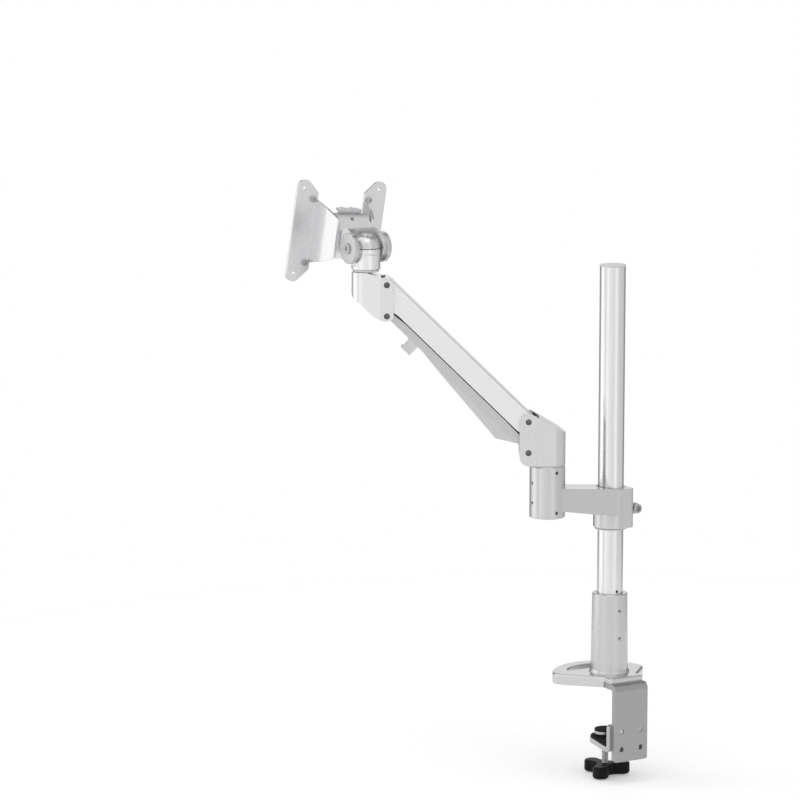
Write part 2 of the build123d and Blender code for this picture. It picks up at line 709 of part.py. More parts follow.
# ================================================================ lower elbow
with BuildPart() as lower_elbow:
    with BuildSketch(Plane.XZ) as elbow_side:
        with BuildLine():
            Polyline((-barrel_radius, 0), (elbow_front, 0), (elbow_front, elbow_top),
                     (elbow_crown_start, elbow_top), (-barrel_radius, elbow_back_height), close=True)
        make_face()
        fillet(elbow_side.vertices().sort_by_distance((elbow_front, 0))[0], elbow_front_bend)
        fillet(elbow_side.vertices().sort_by_distance((elbow_front, elbow_top))[0], elbow_top_bend)
    extrude(amount=barrel_radius, both=True)
    with BuildSketch():
        Circle(barrel_radius)
        with Locations((barrel_radius, 0)):
            Rectangle(2 * barrel_radius, 3 * barrel_radius, mode=Mode.SUBTRACT)
        with Locations((elbow_front / 2, 0)):
            Rectangle(elbow_front, cheek_width)
        Rectangle(4 * elbow_front, cheek_width, mode=Mode.INTERSECT)
    extrude(amount=elbow_top, mode=Mode.INTERSECT)
    with BuildSketch():
        with Locations((slot_back + elbow_front / 2, 0)):
            Rectangle(elbow_front, 2 * slot_half)
    extrude(amount=elbow_top, mode=Mode.SUBTRACT)
    with BuildSketch(Plane.XZ):
        with Locations((pivot_offset, anchor_height)):
            Circle(anchor_eye_radius)
        with Locations((slot_back - 1, anchor_height)):
            Rectangle(2, 2 * anchor_eye_radius)
        make_hull()
    extrude(amount=anchor_width / 2, both=True)
    with BuildSketch():
        Circle(elbow_shaft_diameter / 2)
    extrude(amount=shaft_grip, mode=Mode.SUBTRACT)
    with BuildSketch(Plane.XZ):
        with Locations((pivot_offset, lower_pivot_height), (pivot_offset, upper_pivot_height)):
            Circle(pin_diameter / 2)
    extrude(amount=barrel_radius, both=True, mode=Mode.SUBTRACT)
    with BuildSketch(Plane.XZ.offset(-anchor_pin_half)):
        with Locations((pivot_offset, anchor_height)):
            Circle(anchor_pin_diameter / 2)
    extrude(amount=barrel_radius + anchor_pin_half, mode=Mode.SUBTRACT)
lower_elbow.part.locate(elbow_frame)
lower_elbow.part.label = "lower_elbow"
export_step(lower_elbow.part, "parts/lower_elbow.step")

with BuildPart() as swivel_shaft:
    with BuildSketch(Plane.XY.offset(shaft_grip)):
        Circle(elbow_shaft_diameter / 2)
    extrude(amount=-(shaft_grip + elbow_foot - barrel_bottom - 1))
    chamfer(swivel_shaft.edges().group_by(Axis.Z)[0], 1)
swivel_shaft.part.locate(elbow_frame)
swivel_shaft.part.label = "swivel_shaft"
export_step(swivel_shaft.part, "parts/swivel_shaft.step")


def pivot_pin(x, z, diameter, half_length, edge=0.3, socket=0):
    """A pin across the arm with chamfered ends and, if asked for, a hexagon socket in each."""
    with BuildPart(mode=Mode.PRIVATE) as pin:
        with BuildSketch(Plane.XZ):
            with Locations((x, z)):
                Circle(diameter / 2)
        extrude(amount=half_length, both=True)
        chamfer(pin.edges().filter_by(GeomType.CIRCLE), edge)
        if socket:
            for side in (-1, 1):
                with BuildSketch(Plane.XZ.offset(side * half_length)):
                    with Locations((x, z)):
                        RegularPolygon(socket, 6)
                extrude(amount=-side * socket, mode=Mode.SUBTRACT)
    return pin.part


pin_half = cheek_width / 2 - pin_head_sink
pin_socket = pin_diameter * 0.3
lower_pins = Compound(label="lower_pins", children=[
    pivot_pin(pivot_offset, height, pin_diameter, pin_half, socket=pin_socket)
    for height in (lower_pivot_height, upper_pivot_height)])
lower_pins.locate(elbow_frame)
export_step(lower_pins, "parts/lower_pins.step")

anchor_pin = pivot_pin(pivot_offset, anchor_height, anchor_pin_diameter, anchor_pin_half)
anchor_pin.label = "anchor_pin"
anchor_pin.locate(elbow_frame)
export_step(anchor_pin, "parts/anchor_pin.step")

# ================================================================ beam
with BuildPart() as beam:
    with BuildSketch(Plane.XZ) as beam_side:
        with BuildLine():
            Polyline((-beam_end, beam_top), (arm_length + beam_end, beam_top), (arm_length + beam_end,
                     -beam_end),
                     (arm_length, -beam_end), (arm_length - beam_taper, -beam_bottom),
                     (-beam_end, -beam_bottom), close=True)
        make_face()
        fillet(beam_side.vertices().sort_by_distance((arm_length + beam_end, -beam_end))[0], beam_end - 0.1)
        fillet(beam_side.vertices().sort_by_distance((arm_length + beam_end, beam_top))[0], beam_top - 0.1)
        fillet(beam_side.vertices().sort_by_distance((-beam_end, -beam_bottom))[0], beam_heel)
        fillet(beam_side.vertices().sort_by_distance((-beam_end, beam_top))[0], beam_top - 2)
    extrude(amount=beam_width / 2, both=True)
    with BuildSketch(Plane.YZ.offset(-2 * beam_end)) as beam_section:
        with Locations((0, beam_top - beam_bottom)):
            Rectangle(beam_width, 2 * beam_bottom)
        fillet(beam_section.vertices().group_by(Axis.Y)[-1], beam_edge)
    extrude(amount=arm_length + 4 * beam_end, mode=Mode.INTERSECT)
    with BuildSketch(Plane.YZ.offset(-2 * beam_end)):
        with Locations((0, beam_top - beam_wall - beam_bottom)):
            Rectangle(2 * beam_inner_half, 2 * beam_bottom)
    extrude(amount=arm_length + 4 * beam_end, mode=Mode.SUBTRACT)
    with BuildSketch(Plane.XZ):
        with Locations((0, 0), (arm_length, 0)):
            Circle(pin_diameter / 2 + run_fit)
    extrude(amount=beam_width, both=True, mode=Mode.SUBTRACT)
    with Locations((stop_screw_reach, 0, beam_top)):
        Hole(stop_screw_head * 0.36, depth=beam_wall)
beam.part.locate(beam_frame)
beam.part.label = "beam"
export_step(beam.part, "parts/beam.step")

stop_screw = cap_screw((stop_screw_reach, 0, beam_top), (0, 0, 1), stop_screw_head * 0.72, beam_wall,
                       stop_screw_head, stop_screw_rise)
stop_screw.label = "stop_screw"
stop_screw.locate(beam_frame)
export_step(stop_screw, "parts/stop_screw.step")

spring_pin = pivot_pin(spring_reach, -spring_drop, anchor_pin_diameter, beam_inner_half, 0.2)
spring_pin.label = "spring_pin"
spring_pin.locate(beam_frame)
export_step(spring_pin, "parts/spring_pin.step")

# ================================================================ lower link with its wedge
with BuildPart() as lower_link:
    with BuildSketch(Plane.XZ):
        Polygon((0, -link_lug), (wedge_foot, -link_shallow), (wedge_start, -link_deep),
                (wedge_fade, -wedge_fade_depth), (wedge_end, -link_shallow), (arm_length, -link_shallow),
                (arm_length, link_far_lug), (arm_length - link_ramp / 2, link_rise), (link_ramp, link_rise),
                (0, link_lug), align=None)
        Circle(link_lug)
        with Locations((arm_length, 0)):
            Circle(link_far_lug)
    extrude(amount=lower_link_half, both=True)
    facet_run = link_deep * tan(radians(wedge_slope))
    with BuildSketch(Plane.YZ.offset(wedge_foot)):
        Polygon((lower_link_half, -wedge_ridge), (lower_link_half + 1, -wedge_ridge),
                (lower_link_half + 1, -wedge_ridge - link_deep), (lower_link_half - facet_run,
                                                                  -wedge_ridge - link_deep),
                align=None)
        mirror(about=Plane.YZ)
    extrude(amount=wedge_end - wedge_foot, mode=Mode.SUBTRACT)
    cavity_start = link_lug + link_wall
    cavity_end = arm_length - link_far_lug - link_wall
    with BuildSketch(Plane.XZ):
        Polygon((-link_lug - 1, -link_deep), (cavity_start, -link_deep), (cavity_start,
                link_wall - link_shallow),
                (cavity_end, link_wall - link_shallow), (cavity_end, -link_deep),
                (arm_length + link_lug, -link_deep), (arm_length + link_lug, link_rise + 1),
                (-link_lug - 1, link_rise + 1), align=None)
    extrude(amount=link_inner_half, both=True, mode=Mode.SUBTRACT)
    with BuildSketch(Plane.XZ):
        Polygon((wedge_foot + link_wall, link_wall - link_shallow), (wedge_start, link_wall - link_deep + 1),
                (wedge_fade, link_wall - wedge_fade_depth), (wedge_end, link_wall - link_shallow), align=None)
    extrude(amount=link_inner_half / 2, both=True, mode=Mode.SUBTRACT)
    with BuildSketch(Plane.XZ):
        Circle(pin_diameter / 2 + run_fit)
        with Locations((arm_length, 0)):
            Circle(pin_diameter / 2 + open_pivot_play)
    extrude(amount=beam_width, both=True, mode=Mode.SUBTRACT)
lower_link.part.locate(link_frame)
lower_link.part.label = "lower_link"
export_step(lower_link.part, "parts/lower_link.step")

clip_bottom = link_shallow + clip_size
with BuildPart() as cable_clip:
    with BuildSketch(Plane.YZ.offset(arm_length - clip_back)):
        Polygon((-lower_link_half, -link_shallow), (lower_link_half, -link_shallow), (lower_link_half,
                -clip_bottom),
                (-lower_link_half / 2, -clip_bottom), (-lower_link_half / 2, 2 - clip_bottom),
                (lower_link_half - 2, 2 - clip_bottom), (lower_link_half - 2, -link_shallow - 2),
                (-lower_link_half, -link_shallow - 2), align=None)
    extrude(amount=clip_size)
cable_clip.part.locate(link_frame)
cable_clip.part.label = "cable_clip"
export_step(cable_clip.part, "parts/cable_clip.step")

# ================================================================ gas spring
with BuildPart() as spring_cylinder:
    with BuildSketch(Plane.XY):
        with BuildLine():
            Polyline((anchor_eye_radius * 1.2, 0), (anchor_eye_radius * 1.2, spring_rod_diameter / 2),
                     (spring_tube_start, spring_rod_diameter / 2), (spring_tube_start,
                                                                    spring_tube_diameter / 2),
                     (spring_tube_end, spring_tube_diameter / 2), (spring_tube_end,
                                                                   spring_rod_diameter / 2 + run_fit),
                     (spring_tube_end - 2 * spring_wall, spring_rod_diameter / 2 + run_fit),
                     (spring_tube_end - 2 * spring_wall, spring_tube_diameter / 2 - spring_wall),
                     (spring_tube_start + 2 * spring_wall, spring_tube_diameter / 2 - spring_wall),
                     (spring_tube_start + 2 * spring_wall, 0), close=True)
        make_face()
    revolve(axis=Axis.X)
    with BuildSketch(Plane.XZ):
        Circle(fork_half_height)
        with Locations((anchor_eye_radius, 0)):
            Rectangle(2 * anchor_eye_radius, 2 * fork_half_height)
    extrude(amount=fork_half_width, both=True)
    with BuildSketch(Plane.XY.offset(-fork_half_height)):
        with Locations((0, 0)):
            Rectangle(2.4 * anchor_eye_radius, anchor_width + 2 * seat_gap)
    extrude(amount=2 * fork_half_height, mode=Mode.SUBTRACT)
    with BuildSketch(Plane.XZ):
        Circle(anchor_pin_diameter / 2 + run_fit)
    extrude(amount=2 * fork_half_width, both=True, mode=Mode.SUBTRACT)
spring_cylinder.part.locate(spring_frame)
spring_cylinder.part.label = "spring_cylinder"
export_step(spring_cylinder.part, "parts/spring_cylinder.step")

eye_bore = anchor_pin_diameter / 2 + rod_eye_play
with BuildPart() as spring_rod:
    with BuildSketch(Plane.YZ.offset(rod_start)):
        Circle(spring_rod_diameter / 2)
    extrude(amount=spring_length - rod_start - eye_bore - 1)
    with BuildSketch(Plane.XZ):
        with Locations((spring_length, 0)):
            Circle(eye_bore + 2)
    extrude(amount=anchor_width / 2 + 1, both=True)
    with BuildSketch(Plane.XZ):
        with Locations((spring_length, 0)):
            Circle(eye_bore)
    extrude(amount=anchor_width, both=True, mode=Mode.SUBTRACT)
spring_rod.part.locate(spring_frame)
spring_rod.part.label = "spring_rod"
export_step(spring_rod.part, "parts/spring_rod.step")

# ================================================================ upper elbow
with BuildPart() as upper_elbow:
    neck_front = neck_offset + neck_radius
    fork_foot = -pivot_spacing - 2
    with BuildSketch(Plane.XZ) as fork_side:
        with BuildLine():
            Polyline((-fork_edge, fork_foot), (-fork_edge, fork_top - 2.4), (neck_start, shoulder_height),
                     (neck_front, shoulder_height), (neck_front, -10))
            Spline((neck_front, -10), (31.8, -21.2), (18.7, -33.1), (8.5, -39.6), (-0.3, -41.5),
                   (-fork_edge, fork_foot),
                   tangents=((0, -1), (-0.7, 0.7)))
        make_face()
        fillet(fork_side.vertices().sort_by_distance((-fork_edge, fork_top))[0], fork_round)
    extrude(amount=cheek_width / 2, both=True)
    with BuildSketch(Plane.XY.offset(2 * fork_foot)):
        with Locations((neck_offset, 0)):
            Circle(neck_radius)
        Rectangle(2 * fork_edge, cheek_width)
        make_hull()
    extrude(amount=-4 * fork_foot, mode=Mode.INTERSECT)
    with BuildSketch(Plane.XZ):
        with Locations((0, 0), (0, -pivot_spacing)):
            Circle(fork_slot)
        with Locations((-fork_slot, -pivot_spacing / 2)):
            Rectangle(2 * fork_slot, pivot_spacing + 2 * fork_slot)
        make_hull()
    extrude(amount=slot_half, both=True, mode=Mode.SUBTRACT)
    with BuildSketch(Plane.XY.offset(shoulder_height)):
        with Locations((neck_offset, 0)):
            Circle(post_diameter / 2 + run_fit)
    extrude(amount=-post_depth, mode=Mode.SUBTRACT)
    with BuildSketch(Plane.XZ):
        with Locations((0, 0), (0, -pivot_spacing)):
            Circle(pin_diameter / 2)
    extrude(amount=barrel_radius, both=True, mode=Mode.SUBTRACT)
upper_elbow.part.locate(wrist_frame)
upper_elbow.part.label = "upper_elbow"
export_step(upper_elbow.part, "parts/upper_elbow.step")

upper_pins = Compound(label="upper_pins", children=[
    pivot_pin(0, height, pin_diameter, pin_half, socket=pin_socket) for height in (-pivot_spacing, 0)])
upper_pins.locate(wrist_frame)
export_step(upper_pins, "parts/upper_pins.step")

# ================================================================ head
body_foot = seat_gap + ring_thickness
post_top = body_foot + 10
with BuildPart() as head_post:
    with BuildSketch(Plane.XY.offset(post_top)):
        Circle(post_diameter / 2)
    extrude(amount=-(post_top + post_depth - 0.5))
    chamfer(head_post.edges().group_by(Axis.Z)[0], 1)
head_post.part.locate(head_frame)
head_post.part.label = "head_post"
export_step(head_post.part, "parts/head_post.step")

with BuildPart() as neck_ring:
    with BuildSketch(Plane.XY.offset(seat_gap)):
        Circle(head_radius - 1.2)
        Circle(post_diameter / 2, mode=Mode.SUBTRACT)
    extrude(amount=ring_thickness)
    chamfer(neck_ring.edges().filter_by(GeomType.CIRCLE).sort_by(SortBy.RADIUS)[-2:], 0.5)
neck_ring.part.locate(head_frame)
neck_ring.part.label = "neck_ring"
export_step(neck_ring.part, "parts/neck_ring.step")

with BuildPart() as head_body:
    with BuildSketch(Plane.XY.offset(body_foot)):
        Circle(head_radius)
    extrude(amount=split_level - body_foot)
    chamfer(head_body.edges().group_by(Axis.Z)[0], 1)
    with BuildSketch(Plane.XY.offset(head_flat_start)):
        Rectangle(4 * head_radius, 4 * head_radius)
        Rectangle(2 * head_half_width, 4 * head_radius, mode=Mode.SUBTRACT)
    extrude(amount=tilt_height, mode=Mode.SUBTRACT)
    with BuildSketch(Plane.YZ):
        with Locations((0, tilt_height)):
            Circle(axle_diameter / 2 + run_fit)
    extrude(amount=2 * head_radius, both=True, mode=Mode.SUBTRACT)
    with BuildSketch(Plane.XY.offset(body_foot)):
        Circle(post_diameter / 2)
    extrude(amount=post_top - body_foot, mode=Mode.SUBTRACT)
    with BuildSketch(Plane.XY.offset(split_level)):
        with Locations((0, cap_screw_offset), (0, -cap_screw_offset)):
            Circle(cap_screw_diameter / 2)
    extrude(amount=post_top + 1 - split_level, mode=Mode.SUBTRACT)
    for turn, radius in ((mark_dot_turn, mark_dot_radius), (mark_hole_turn, mark_hole_radius)):
        with Locations(Location((0, 0, mark_level), (0, 0, turn)) * Location((0, 0, 0), (-90, 0, 0))
                       * Location((0, 0, head_radius - mark_depth))):
            Cylinder(radius, 2 * mark_depth, align=(Align.CENTER, Align.CENTER, Align.MIN),
                     mode=Mode.SUBTRACT)
    with Locations((0, head_radius, mark_level)):
        Box(mark_slot_length, 2 * mark_depth, mark_slot_height, mode=Mode.SUBTRACT)
head_body.part.locate(head_frame)
head_body.part.label = "head_body"
export_step(head_body.part, "parts/head_body.step")

cap_seat = tilt_height + 10
with BuildPart() as head_cap:
    with Locations((0, 0, tilt_height)):
        Sphere(dome_radius)
    with Locations((0, 0, split_level + split_gap)):
        Box(2 * head_half_width, 4 * head_radius, 2 * head_radius, align=(Align.CENTER, Align.CENTER,
            Align.MIN),
            mode=Mode.INTERSECT)
    with BuildSketch(Plane.YZ):
        with Locations((0, tilt_height)):
            Circle(axle_diameter / 2 + run_fit)
    extrude(amount=2 * head_radius, both=True, mode=Mode.SUBTRACT)
    with BuildSketch(Plane.XY.offset(cap_seat)):
        with Locations((0, cap_screw_offset), (0, -cap_screw_offset)):
            Circle(cap_screw_head / 2 + hole_play)
    extrude(amount=head_radius, mode=Mode.SUBTRACT)
    with BuildSketch(Plane.XY.offset(cap_seat)):
        with Locations((0, cap_screw_offset), (0, -cap_screw_offset)):
            Circle(cap_screw_diameter / 2 + hole_play)
    extrude(amount=-head_radius, mode=Mode.SUBTRACT)
head_cap.part.locate(head_frame)
head_cap.part.label = "head_cap"
export_step(head_cap.part, "parts/head_cap.step")

cap_screws = Compound(label="cap_screws", children=[
    cap_screw((0, side * cap_screw_offset, cap_seat), (0, 0, 1), cap_screw_diameter, cap_seat - post_top - 1,
              cap_screw_head, 2.5)
    for side in (-1, 1)])
cap_screws.locate(head_frame)
export_step(cap_screws, "parts/cap_screws.step")

# ================================================================ tilt joint
with BuildPart() as tilt_axle:
    with BuildSketch(Plane.YZ):
        Circle(axle_diameter / 2)
    extrude(amount=disc_outer, both=True)
    with BuildSketch(Plane.YZ.offset(-disc_outer)):
        Circle(axle_diameter / 4)
    extrude(amount=2 * disc_thickness, mode=Mode.SUBTRACT)
    with BuildSketch(Plane.YZ.offset(disc_outer)):
        Circle(axle_diameter / 4)
    extrude(amount=-2 * disc_thickness, mode=Mode.SUBTRACT)
tilt_axle.part.locate(tilt_frame)
tilt_axle.part.label = "tilt_axle"
export_step(tilt_axle.part, "parts/tilt_axle.step")

with BuildPart() as tilt_yoke:
    with BuildSketch(Plane.YZ):
        Circle(ear_axis_radius)
        with Locations((-ear_lobe_reach, ear_lobe_rise)):
            Circle(ear_lobe_radius)
        make_hull()
        with Locations(((-yoke_web_outer - yoke_web_inner) / 2, (yoke_web_high - yoke_web_low) / 2)):
            Rectangle(yoke_web_thickness, yoke_web_high + yoke_web_low)
        with Locations((-yoke_web_outer - ear_lobe_radius, 0)):
            Rectangle(2 * ear_lobe_radius, 8 * ear_lobe_radius, mode=Mode.SUBTRACT)
    extrude(amount=ear_outer, both=True)
    with BuildSketch(Plane.XY.offset(-yoke_web_high * 2)):
        with Locations((0, head_radius + ear_axis_radius - yoke_web_inner)):
            Rectangle(2 * ear_inner, 2 * (head_radius + ear_axis_radius))
    extrude(amount=yoke_web_high * 4, mode=Mode.SUBTRACT)
    with BuildSketch(Plane.YZ):
        Circle(axle_diameter / 2)
    extrude(amount=2 * ear_outer, both=True, mode=Mode.SUBTRACT)
    with Locations(Location((0, -yoke_web_inner, screen_rise), (-90, 0, 0))):
        CounterSinkHole(hub_bolt_diameter / 2 + run_fit, hub_bolt_diameter - 0.2)
tilt_yoke.part.locate(tilt_frame)
tilt_yoke.part.label = "tilt_yoke"
export_step(tilt_yoke.part, "parts/tilt_yoke.step")

with BuildPart() as tilt_discs:
    with BuildSketch(Plane.YZ.offset(ear_outer)):
        Circle(disc_radius)
        Circle(axle_diameter / 2, mode=Mode.SUBTRACT)
    extrude(amount=disc_thickness)
    chamfer(tilt_discs.edges().filter_by(GeomType.CIRCLE).group_by(Axis.X)[-1].sort_by(SortBy.RADIUS)[-1],
            0.8)
    with BuildSketch(Plane.YZ.offset(disc_outer)):
        with Locations((-disc_chord - disc_radius, 0)):
            Rectangle(2 * disc_radius, 2 * disc_radius)
    extrude(amount=-0.5, mode=Mode.SUBTRACT)
    mirror(about=Plane.YZ)
tilt_discs.part.locate(tilt_frame)
tilt_discs.part.label = "tilt_discs"
export_step(tilt_discs.part, "parts/tilt_discs.step")

axle_screws = Compound(label="axle_screws", children=[
    cap_screw((side * disc_outer, 0, 0), (side, 0, 0), axle_diameter / 2, 1.8 * disc_thickness, disc_boss,
              1.6, 0.2)
    for side in (-1, 1)])
axle_screws.locate(tilt_frame)
export_step(axle_screws, "parts/axle_screws.step")

nut_thickness = 5
web_back = web_offset + web_thickness
with BuildPart() as hub_bolt:
    with BuildSketch(Plane.XZ.offset(yoke_web_inner)):
        with Locations((0, screen_rise)):
            Circle(hub_bolt_diameter / 2)
    extrude(amount=web_back + seat_gap + nut_thickness + 1 - yoke_web_inner)
    with BuildSketch(Plane.XZ.offset(yoke_web_inner)):
        with Locations((0, screen_rise)):
            Circle(hub_bolt_diameter - 0.2)
    extrude(amount=(hub_bolt_diameter / 2 - 0.2 - run_fit) , taper=45)
    with BuildSketch(Plane.XZ.offset(yoke_web_inner)):
        with Locations((0, screen_rise)):
            RegularPolygon(hub_bolt_diameter * 0.36, 6)
    extrude(amount=hub_bolt_diameter / 3, mode=Mode.SUBTRACT)
hub_bolt.part.locate(tilt_frame)
hub_bolt.part.label = "hub_bolt"
export_step(hub_bolt.part, "parts/hub_bolt.step")

with BuildPart() as hub_nut:
    with BuildSketch(Plane.XZ.offset(web_back + seat_gap)):
        with Locations((0, screen_rise)):
            RegularPolygon(hub_bolt_diameter * 0.96, 6)
            Circle(hub_bolt_diameter / 2, mode=Mode.SUBTRACT)
    extrude(amount=nut_thickness)
hub_nut.part.locate(tilt_frame)
hub_nut.part.label = "hub_nut"
export_step(hub_nut.part, "parts/hub_nut.step")

# ================================================================ screen bracket
wing_face = screen_offset - wing_thickness
with BuildPart() as screen_bracket:
    with BuildSketch():
        Polygon((hat_foot, -wing_face), (hat_knee, -hat_knee_offset), (hat_top, -hub_front - 0.7),
                (hat_top - hat_wall, -hub_front - 0.7), (hat_knee - hat_wall, -hat_knee_offset),
                (hat_foot - hat_wall, -wing_face), align=None)
        mirror(about=Plane.YZ)
    extrude(amount=hat_foot_height, both=True)
    with BuildSketch(Plane.YZ) as hat_side:
        Polygon((-screen_offset, -hat_foot_height), (-wing_face, -hat_foot_height), (-hat_knee_offset,
                -hat_knee_height),
                (-hub_front, -hat_top_height), (-hub_front, hat_top_height), (-hat_knee_offset,
                                                                              hat_knee_height),
                (-wing_face, hat_foot_height), (-screen_offset, hat_foot_height), align=None)
        fillet(hat_side.vertices().group_by(Axis.X)[-1], 7)
    extrude(amount=hat_foot, both=True, mode=Mode.INTERSECT)
    with BuildSketch(Plane.YZ):
        with Locations((-hub_centre_offset, 0)):
            Circle(hub_radius)
        with Locations((-web_back - hub_radius * 2, 0)):
            Rectangle(4 * hub_radius, 4 * hub_radius, mode=Mode.SUBTRACT)
    extrude(amount=hat_top - hat_wall / 2, both=True)
    with BuildSketch(Plane.XZ.offset(web_offset)):
        Rectangle(2 * (hat_knee - hat_wall + 1), 2 * hat_top_height)
    extrude(amount=web_thickness)
    with BuildSketch(Plane.XZ.offset(hub_front)):
        Circle(hub_pad_radius)
    extrude(amount=web_thickness)
    with BuildSketch(Plane.XZ.offset(wing_face)):
        with Locations((vesa_100 / 2, vesa_100 / 2), (vesa_100 / 2, -vesa_100 / 2)):
            Circle(wing_lobe)
        with Locations((hat_foot - hat_wall / 2, 0)):
            Rectangle(hat_wall, 2 * wing_waist)
        make_hull()
        mirror(about=Plane.YZ)
        with GridLocations(vesa_100, vesa_100, 2, 2):
            Circle(vesa_hole / 2, mode=Mode.SUBTRACT)
        with GridLocations(vesa_75, vesa_75, 2, 2):
            Circle(vesa_hole / 2, mode=Mode.SUBTRACT)
    extrude(amount=wing_thickness)
    with Locations(Location((0, -hub_front, 0), (-90, 0, 0))):
        Hole(hub_bolt_diameter / 2 + run_fit)
    hub_grub_angle = degrees(atan2(hub_grub_rise, sqrt(hub_radius ** 2 - hub_grub_rise ** 2)))
    with Locations(Location((0, -hub_centre_offset, 0), (hub_grub_angle - 90, 0, 0))
                   * Location((0, 0, hub_radius - hub_grub_hole_depth))):
        Cylinder(hub_grub_diameter / 2, hub_grub_hole_depth + 2, align=(Align.CENTER, Align.CENTER,
                 Align.MIN), mode=Mode.SUBTRACT)
screen_bracket.part.locate(screen_frame)
screen_bracket.part.label = "screen_bracket"
export_step(screen_bracket.part, "parts/screen_bracket.step")

grub_y = cos(radians(hub_grub_angle))
grub_z = sin(radians(hub_grub_angle))
hub_grub = grub_at(0, grub_y * (hub_radius - 2) - hub_centre_offset, grub_z * (hub_radius - 2),
                   (0, grub_y, grub_z), hub_grub_diameter, hub_grub_diameter)
hub_grub.label = "hub_grub"
hub_grub.locate(screen_frame)
export_step(hub_grub, "parts/hub_grub.step")

with BuildPart() as release_tab:
    with BuildSketch(Plane.XZ.offset(web_back)):
        with Locations((0, hat_top_height)):
            Rectangle(tab_width, 2 * (tab_shelf - hat_top_height))
    extrude(amount=tab_thickness)
    with BuildSketch(Plane.XY.offset(tab_shelf)) as shelf:
        with Locations((0, -web_back + tab_thickness - tab_depth / 2)):
            Rectangle(tab_width, tab_depth)
        fillet(shelf.vertices(), 1.5)
    extrude(amount=tab_thickness)
    with BuildSketch(Plane.XY.offset(tab_shelf + tab_thickness)):
        with Locations((-tab_width / 6, -web_back + tab_thickness - tab_depth / 2),
                       (tab_width / 4, -web_back + tab_thickness - tab_depth / 2)):
            Rectangle(2, tab_depth * 0.8, rotation=30)
    extrude(amount=tab_thickness / 2)
release_tab.part.locate(screen_frame)
release_tab.part.label = "release_tab"
export_step(release_tab.part, "parts/release_tab.step")

screen_screws = Compound(label="screen_screws", children=[
    cap_screw((x * vesa_75 / 2, -wing_face, z * vesa_75 / 2), (0, 1, 0), vesa_screw,
              wing_thickness + screen_screw_reach,
              vesa_screw * 1.9, vesa_screw * 0.6)
    for x in (-1, 1) for z in (-1, 1)])
screen_screws.locate(screen_frame)
export_step(screen_screws, "parts/screen_screws.step")
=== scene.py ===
"""Looks of the monitor arm: paint, plating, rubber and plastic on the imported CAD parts, the clamp
screw's thread, a pale floor, a soft studio and the camera. Lengths are in metres, in the CAD's frame.
"""
import json
from math import cos, pi, radians, sin

import bmesh
import bpy
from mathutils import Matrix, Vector


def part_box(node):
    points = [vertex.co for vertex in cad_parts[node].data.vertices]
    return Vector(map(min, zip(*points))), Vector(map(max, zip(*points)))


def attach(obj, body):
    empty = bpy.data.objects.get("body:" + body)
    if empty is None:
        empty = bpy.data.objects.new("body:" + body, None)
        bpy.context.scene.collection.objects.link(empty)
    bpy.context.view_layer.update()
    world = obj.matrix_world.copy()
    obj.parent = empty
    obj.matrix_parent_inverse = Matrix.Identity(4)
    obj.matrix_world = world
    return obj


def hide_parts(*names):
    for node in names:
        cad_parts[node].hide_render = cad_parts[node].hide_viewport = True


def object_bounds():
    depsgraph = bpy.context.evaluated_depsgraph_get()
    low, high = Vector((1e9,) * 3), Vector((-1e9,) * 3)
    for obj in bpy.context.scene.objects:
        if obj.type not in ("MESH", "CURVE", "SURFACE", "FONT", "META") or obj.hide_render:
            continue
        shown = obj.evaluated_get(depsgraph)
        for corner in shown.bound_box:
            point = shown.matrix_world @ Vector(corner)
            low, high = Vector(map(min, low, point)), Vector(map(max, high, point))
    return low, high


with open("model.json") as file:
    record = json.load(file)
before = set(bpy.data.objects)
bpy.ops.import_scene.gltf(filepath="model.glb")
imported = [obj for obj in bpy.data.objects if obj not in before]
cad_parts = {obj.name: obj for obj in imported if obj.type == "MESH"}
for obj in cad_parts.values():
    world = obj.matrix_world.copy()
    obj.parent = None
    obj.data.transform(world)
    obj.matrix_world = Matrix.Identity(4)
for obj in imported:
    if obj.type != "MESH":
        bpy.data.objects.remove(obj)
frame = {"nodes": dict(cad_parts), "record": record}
cad_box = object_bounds()

# ---------------------------------------------------------------- sizes
THREAD_RADIUS = 0.004
THREAD_PITCH = 0.00125
THREAD_DEPTH = 0.0006
THREAD_SLICES = 8               # rings in one turn of the thread
THREAD_STEPS = 24               # corners of one ring
THREAD_NECK = 0.75              # radius of the screw's turned end, as a share of its own

FLOOR_GAP = 0.001
FLOOR_RADIUS = 1.6
FLOOR_FADE = 0.25               # share of the fall from the middle over which the floor's rim fades out
FLOOR_TONE = 0.8
FLOOR_LIFT = 0.3                # glow of the floor, where the camera sees it

NOISE_LOW, NOISE_HIGH = 0.3, 0.7    # part of a noise that is spread over a range

VIEW_ANGLE = radians(29.73)     # camera's heading from +Y, towards +X
VIEW_PITCH = radians(8.68)      # camera looks down by this
VIEW_DISTANCE = 3.9
VIEW_TARGET = Vector((0.2344, -0.0824, 0.3394))
VIEW_LENS = 153.7

SOFTBOX_PLACE = (0.4, 0.8, 2.4)
SOFTBOX_TARGET = (0.15, 0, 0.2)
SOFTBOX_SIZE = (1.6, 1.2)
SOFTBOX_POWER = 5

# brightness of the studio round the object, by heading from the camera's side, in degrees
STUDIO = (
    (-180, 1.0), (-171, 1.0), (-160, 0.22), (-138, 0.3), (-114, 1.3), (-88, 1.55), (-66, 0.85),
    (-48, 1.3), (-22, 1.05), (0, 0.96), (10, 0.9), (36, 1.2), (54, 0.82), (80, 0.75),
    (105, 0.75), (132, 0.3), (160, 0.22), (171, 1.0), (180, 1.0),
)


